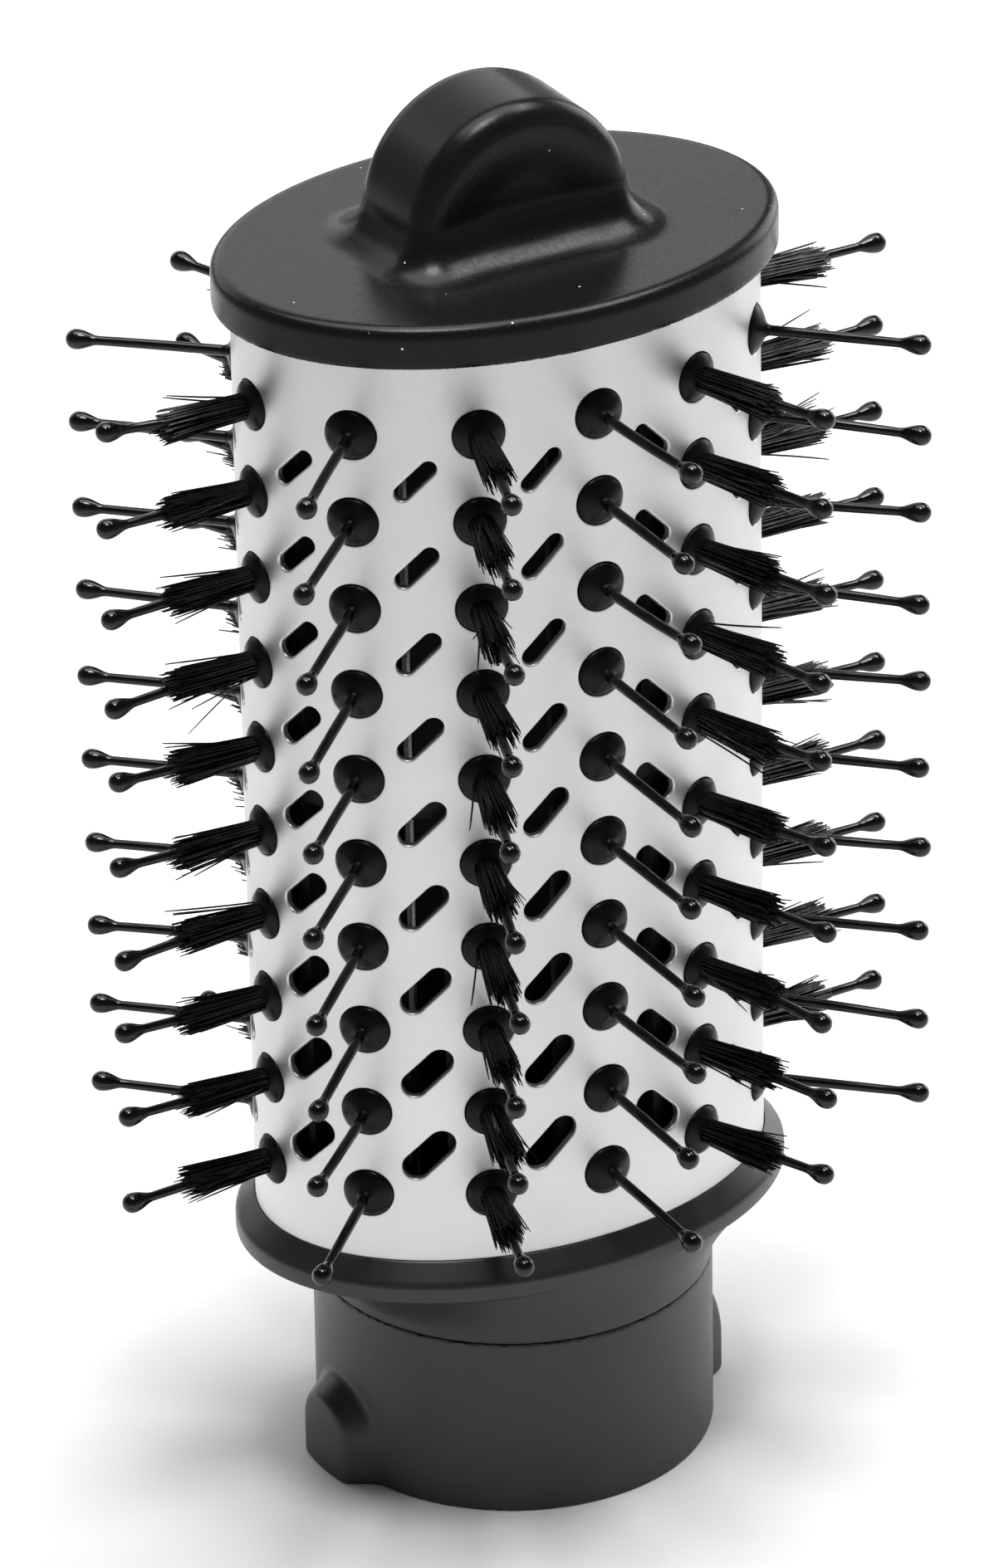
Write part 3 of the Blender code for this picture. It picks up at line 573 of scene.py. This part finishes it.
def make_strip(column):
    """A rail with ten domed bosses, ball-tipped pins and, in every other column, tufts round the pins."""
    tufted = column % 2 == 0
    node = f"{'tuft' if tufted else 'pin'}_strip_{column // 2 + 1}"
    low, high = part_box(node)
    distance = column * PERIMETER / COLUMNS
    point, normal = oval_frame(distance)
    normals = np.tile([*normal, 0.0], (ROWS, 1))
    roots = np.array([[*point, row_height(row)] for row in range(ROWS)])
    across = np.array([-normal[1], normal[0], 0.0])
    up = np.array([0.0, 0.0, 1.0])
    lean = RNG.normal(0, PIN_LEAN, (ROWS, 1)) * across + RNG.normal(0, PIN_LEAN, (ROWS, 1)) * up
    rail = Builder()
    add_rail(rail, distance, low.z, high.z)
    rail.sweep(*boss_paths(roots, normals), 40)
    add_piece(f"{node}_rail", np.vstack(rail.points), rail.faces, "head", node, MAT_RAIL)
    pins = Builder()
    pins.sweep(*pin_paths(roots, normals, TUFT_PIN_REACH if tufted else PIN_REACH, lean), 16)
    add_piece(f"{node}_pins", np.vstack(pins.points), pins.faces, "head", node, MAT_PIN)
    if tufted:
        filaments = Builder()
        for root, out in zip(roots, normals):
            filaments.sweep(*tuft_paths(root, out), 4)
        add_piece(f"{node}_filaments", np.vstack(filaments.points), filaments.faces, "head", node,
                  MAT_TUFT)


# The cool tip


def cap_field(x, y, z):
    """Plate, fin with faintly dished faces, sweep round the fin's foot, and the groove for the barrel."""
    outline = oval_distance(x, y, CAP_A, CAP_B)
    plate = round_overlap(outline, z - CAP_TOP, CAP_EDGE)
    spring = FIN_TOP - FIN_RADIUS
    arch = arch_distance(x, z, spring, FIN_RADIUS)
    dish = FIN_DISH * ease_in((-3.0 * MM - arch) / (6.0 * MM))
    fin = round_overlap(arch, np.abs(y) - FIN_HALF_THICKNESS + dish, FIN_EDGE)
    frontal = np.clip((np.abs(y) / FIN_HALF_THICKNESS - np.abs(x) / FIN_RADIUS) / 2.4 + 0.5, 0.0, 1.0)
    foot = FIN_FOOT_SIDE + (FIN_FOOT_FRONT - FIN_FOOT_SIDE) * ease_in(frontal)
    solid = round_union(plate, fin, foot)
    solid = round_overlap(solid, CAP_BOTTOM - z, 0.35 * MM)
    ring_out = oval_distance(x, y, BARREL_A + GAP, BARREL_B + GAP)
    ring_in = -oval_distance(x, y, BARREL_A - BARREL_WALL - GAP, BARREL_B - BARREL_WALL - GAP)
    groove = np.maximum(np.maximum(ring_out, ring_in), z - (BARREL_TOP + GAP))
    hollow_edge = oval_distance(x, y, BARREL_A - 2.4 * MM, BARREL_B - 2.4 * MM)
    hollow = np.maximum(hollow_edge, z - (CAP_TOP - 2.2 * MM))
    skirt = np.maximum(np.maximum(-ring_in, z - CAP_TOP + 3 * MM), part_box("cool_tip_cap")[0].z - z)
    solid = np.minimum(solid, skirt)
    return np.maximum(np.maximum(solid, -groove), -hollow)


def make_cap():
    low = (-CAP_A, -CAP_B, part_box("cool_tip_cap")[0].z)
    points, quads = surface_net(cap_field, low, (CAP_A, CAP_B, FIN_TOP), 0.42 * MM)
    points[:, 2] = np.clip(points[:, 2], low[2], FIN_TOP)
    add_piece("cool_tip", points, quads, "head", "cool_tip_cap", MAT_CAP)


# The base and neck


def ellipse_ring(a, b, z, sides=144):
    turn = np.arange(sides) * math.tau / sides
    return np.stack([a * np.cos(turn), b * np.sin(turn), np.full(sides, z)], -1)


def make_base():
    """Flange with a chamfered upper edge, concave neck and spigot, as one skin through oval and round rings."""
    lap = 0.12 * MM
    profile = [(BARREL_A + lap, BARREL_B + lap, FLANGE_TOP)]
    chamfer = ((2.30, 0.03), (2.15, 0.18), (0.55, 1.76), (0.40, 1.92), (0.20, 2.18), (0.06, 2.45),
               (0.0, 2.75))  # inset and drop in mm
    for inset, drop in chamfer:
        profile.append((FLANGE_A - inset * MM, FLANGE_B - inset * MM, FLANGE_TOP - drop * MM))
    profile.append((FLANGE_A, FLANGE_B, FLANGE_CREASE + 0.5 * MM))
    for step in range(1, 5):
        turn = step * math.pi / 8
        inset, rise = FLANGE_LIP * (1 - math.cos(turn)), FLANGE_LIP * (1 - math.sin(turn))
        profile.append((FLANGE_A - inset, FLANGE_B - inset, FLANGE_CREASE + rise))
    neck_bottom = COLLAR_TOP + GAP / 2
    under_a, under_b, under = FLANGE_A - 1.4 * MM, FLANGE_B - 0.75 * MM, FLANGE_CREASE - 0.15 * MM
    for step in range(17):
        share = step / 16
        ease = (1 - share) ** 1.9
        a = COLLAR_RADIUS + (under_a - COLLAR_RADIUS) * ease
        b = COLLAR_RADIUS + (under_b - COLLAR_RADIUS) * ease
        profile.append((a, b, under + (neck_bottom + 0.1 * MM - under) * share))
    profile.append((COLLAR_RADIUS - 0.1 * MM, COLLAR_RADIUS - 0.1 * MM, neck_bottom))
    clip_low, clip_high = (corner.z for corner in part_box("retaining_ring"))
    clip_floor, chamfer_size = SPIGOT_RADIUS - 0.8 * MM, 0.3 * MM
    spigot = ((SPIGOT_RADIUS, neck_bottom), (SPIGOT_RADIUS, clip_high + GAP), (clip_floor, clip_high + GAP),
              (clip_floor, clip_low - GAP), (SPIGOT_RADIUS, clip_low - GAP),
              (SPIGOT_RADIUS, SPIGOT_BOTTOM + chamfer_size), (SPIGOT_RADIUS - chamfer_size, SPIGOT_BOTTOM),
              (BORE_RADIUS + chamfer_size, SPIGOT_BOTTOM), (BORE_RADIUS, SPIGOT_BOTTOM + chamfer_size),
              (BORE_RADIUS, 22.0 * MM))
    profile += [(radius, radius, z) for radius, z in spigot]
    groove = BARREL_BOTTOM - GAP
    rim_top = groove + 4 * MM
    outer_seat, inner_seat = 1.2 * MM, 2.6 * MM
    for a, b, z in ((20.0, 17.8, 25.2), (24.8, 17.8, 29.0)):
        profile.append((a * MM, b * MM, z * MM))
    profile.append((27.0 * MM, 17.6 * MM, groove))
    rim = ((inner_seat, groove), (inner_seat, rim_top), (outer_seat, rim_top), (outer_seat, groove),
           (-lap, groove))
    profile += [(BARREL_A - inset, BARREL_B - inset, z) for inset, z in rim]
    builder = Builder()
    builder.rings([ellipse_ring(*section) for section in profile], closed=True)
    web = bmesh.new()
    size = Matrix.Diagonal((50.0 * MM, 7.0 * MM, 2.5 * MM, 1.0))
    bmesh.ops.create_cube(web, size=1.0, matrix=Matrix.Translation((0.0, 0.0, 28.25 * MM)) @ size)
    bmesh.ops.bevel(web, geom=web.edges[:], offset=0.4 * MM, segments=2, affect="EDGES")
    web.verts.index_update()
    builder.add([v.co for v in web.verts], [[v.index for v in face.verts] for face in web.faces])
    web.free()
    add_piece("flange_and_neck", np.vstack(builder.points), builder.faces, "head", "base_neck",
              MAT_NECK)


# The lock collar


def collar_field(x, y, z):
    """Ring with two arched thumb bumps outside, two pockets with bayonet grooves and a stop channel inside."""
    radius = np.hypot(x, y)
    height = np.maximum(COLLAR_BOTTOM - z, z - COLLAR_TOP)
    ring = round_overlap(radius - COLLAR_RADIUS, height, 0.2 * MM)
    side = arch_distance(y, z, BUMP_SPRING, BUMP_HALF_WIDTH) - (BUMP_RADIUS - radius) * BUMP_SLOPE
    side /= math.hypot(1.0, BUMP_SLOPE)
    bump_solid = round_overlap(radius - BUMP_RADIUS, side, 0.5 * MM)
    bump_solid = round_overlap(bump_solid, COLLAR_BOTTOM - z, 0.3 * MM)
    solid = round_union(ring, bump_solid, 0.5 * MM)
    shoulder, bore, shoulder_bore = 15.7 * MM, 21.2 * MM, 19.9 * MM
    solid = np.maximum(solid, np.where(z < shoulder, bore, shoulder_bore) - radius)
    pocket = np.maximum(np.maximum(np.abs(y) - 3.6 * MM, radius - 24.9 * MM), z - 8.0 * MM)
    solid = np.maximum(solid, -pocket)
    turn = np.arctan2(y, x)

    def band(middle, half, outer, low, high):
        off = np.abs((turn - middle + math.pi) % math.tau - math.pi)
        return np.maximum(np.maximum((off - half) * radius, radius - outer), np.maximum(low - z, z - high))

    for middle in BAYONETS:
        solid = np.maximum(solid, -band(middle, BAYONET_HALF, 22.4 * MM, 4.2 * MM, 7.8 * MM))
    channel = band(CHANNEL_MIDDLE, CHANNEL_HALF, 22.1 * MM, 8.9 * MM, 13.1 * MM)
    return np.maximum(solid, -channel)


def make_collar():
    reach = 27.0 * MM
    low, high = (-reach, -COLLAR_RADIUS, COLLAR_BOTTOM), (reach, COLLAR_RADIUS, COLLAR_TOP)
    points, quads = surface_net(collar_field, low, high, 0.38 * MM)
    points[:, 2] = np.clip(points[:, 2], COLLAR_BOTTOM, COLLAR_TOP)
    add_piece("twist_lock_collar", points, quads, "collar", "lock_collar", MAT_COLLAR)


# Carried-over CAD nodes


def finish_node(name, material):
    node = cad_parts[name]
    node.data.materials.clear()
    node.data.materials.append(material)


make_barrel()
for column in range(COLUMNS):
    make_strip(column)
make_cap()
make_base()
make_collar()
finish_node("core_frame", MAT_CORE)
finish_node("heat_shield", MAT_SHIELD)
finish_node("seal_ring", MAT_RUBBER)
for name in ("tie_screw_left", "tie_screw_right", "retaining_ring", "detent_spring"):
    finish_node(name, MAT_STEEL)


# Stage, light and camera


def make_floor():
    material, nodes, links, shader = new_material("floor_paper")
    fibre = noise(nodes, links, 0.02, 3.0)
    tint = ramp(nodes, links, fibre.outputs["Fac"], ((0.3, 0.90), (0.7, 0.92)))
    links.new(tint.outputs["Color"], shader.inputs["Base Color"])
    shader.inputs["Roughness"].default_value = 0.9
    shader.inputs["Specular IOR Level"].default_value = 0.1
    shape = bmesh.new()
    bmesh.ops.create_grid(shape, x_segments=1, y_segments=1, size=3.0)
    mesh = bpy.data.meshes.new("floor")
    shape.to_mesh(mesh)
    shape.free()
    mesh.materials.append(material)
    floor = bpy.data.objects.new("floor", mesh)
    floor.location.z = COLLAR_BOTTOM - 0.05 * MM
    bpy.context.scene.collection.objects.link(floor)


def add_softbox(name, place, aim, width, height, watts):
    light = bpy.data.lights.new(name, "AREA")
    light.shape = "RECTANGLE"
    light.size, light.size_y = width, height
    light.energy = watts
    lamp = bpy.data.objects.new(name, light)
    lamp.location = place
    lamp.rotation_euler = (Vector(aim) - Vector(place)).to_track_quat("-Z", "Y").to_euler()
    bpy.context.scene.collection.objects.link(lamp)


def make_light():
    """Softboxes above, behind and to the right, and a pale band round the horizon under a darker ceiling."""
    middle = (0.0, 0.0, 0.09)
    add_softbox("softbox_top", (0.05, 0.25, 1.15), middle, 0.9, 0.6, 7.8)
    add_softbox("softbox_key", (-0.08, -0.15, 1.12), middle, 0.30, 0.34, 6.8)
    add_softbox("softbox_strip", (0.48, -0.03, 1.02), middle, 0.5, 0.2, 3.5)
    add_softbox("softbox_back", (0.1, 1.4, 0.72), middle, 1.8, 0.8, 6.4)
    add_softbox("softbox_right", (1.1, 0.35, 0.4), middle, 0.7, 0.7, 4.5)
    world = bpy.data.worlds.new("studio")
    bpy.context.scene.world = world
    world.use_nodes = True
    nodes, links = world.node_tree.nodes, world.node_tree.links
    place = nodes.new("ShaderNodeTexCoord")
    parts = nodes.new("ShaderNodeSeparateXYZ")
    links.new(place.outputs["Generated"], parts.inputs["Vector"])
    band = ramp(nodes, links, parts.outputs["Z"], ((0.0, 0.34), (0.20, 0.30), (0.40, 0.09), (1.0, 0.05)))
    links.new(band.outputs["Color"], nodes["Background"].inputs["Color"])
    nodes["Background"].inputs["Strength"].default_value = 1.0


def make_camera():
    """Camera at the photograph's angle, a long lens from the front left, slightly rolled."""
    azimuth, elevation, roll = math.radians(-29.62), math.radians(27.55), math.radians(-0.98)
    distance, look_height, look_left, lens = 1.2161, 85.21 * MM, 1.21 * MM, 237.8
    back = Vector((math.sin(azimuth) * math.cos(elevation), -math.cos(azimuth) * math.cos(elevation),
                   math.sin(elevation)))
    right = (-back).cross(Vector((0, 0, 1))).normalized()
    up = right.cross(-back)
    right, up = right * math.cos(roll) + up * math.sin(roll), up * math.cos(roll) - right * math.sin(roll)
    target = Vector((0, 0, look_height)) - right * look_left
    data = bpy.data.cameras.new("camera")
    data.sensor_width = 36.0
    data.lens = lens
    data.clip_start, data.clip_end = 0.05, 20.0
    camera = bpy.data.objects.new("camera", data)
    rotation = Matrix((right, up, back)).transposed()
    camera.matrix_world = Matrix.Translation(target + back * distance) @ rotation.to_4x4()
    bpy.context.scene.collection.objects.link(camera)
    bpy.context.scene.camera = camera


make_floor()
make_light()
make_camera()
bpy.context.scene.view_settings.view_transform = "Standard"
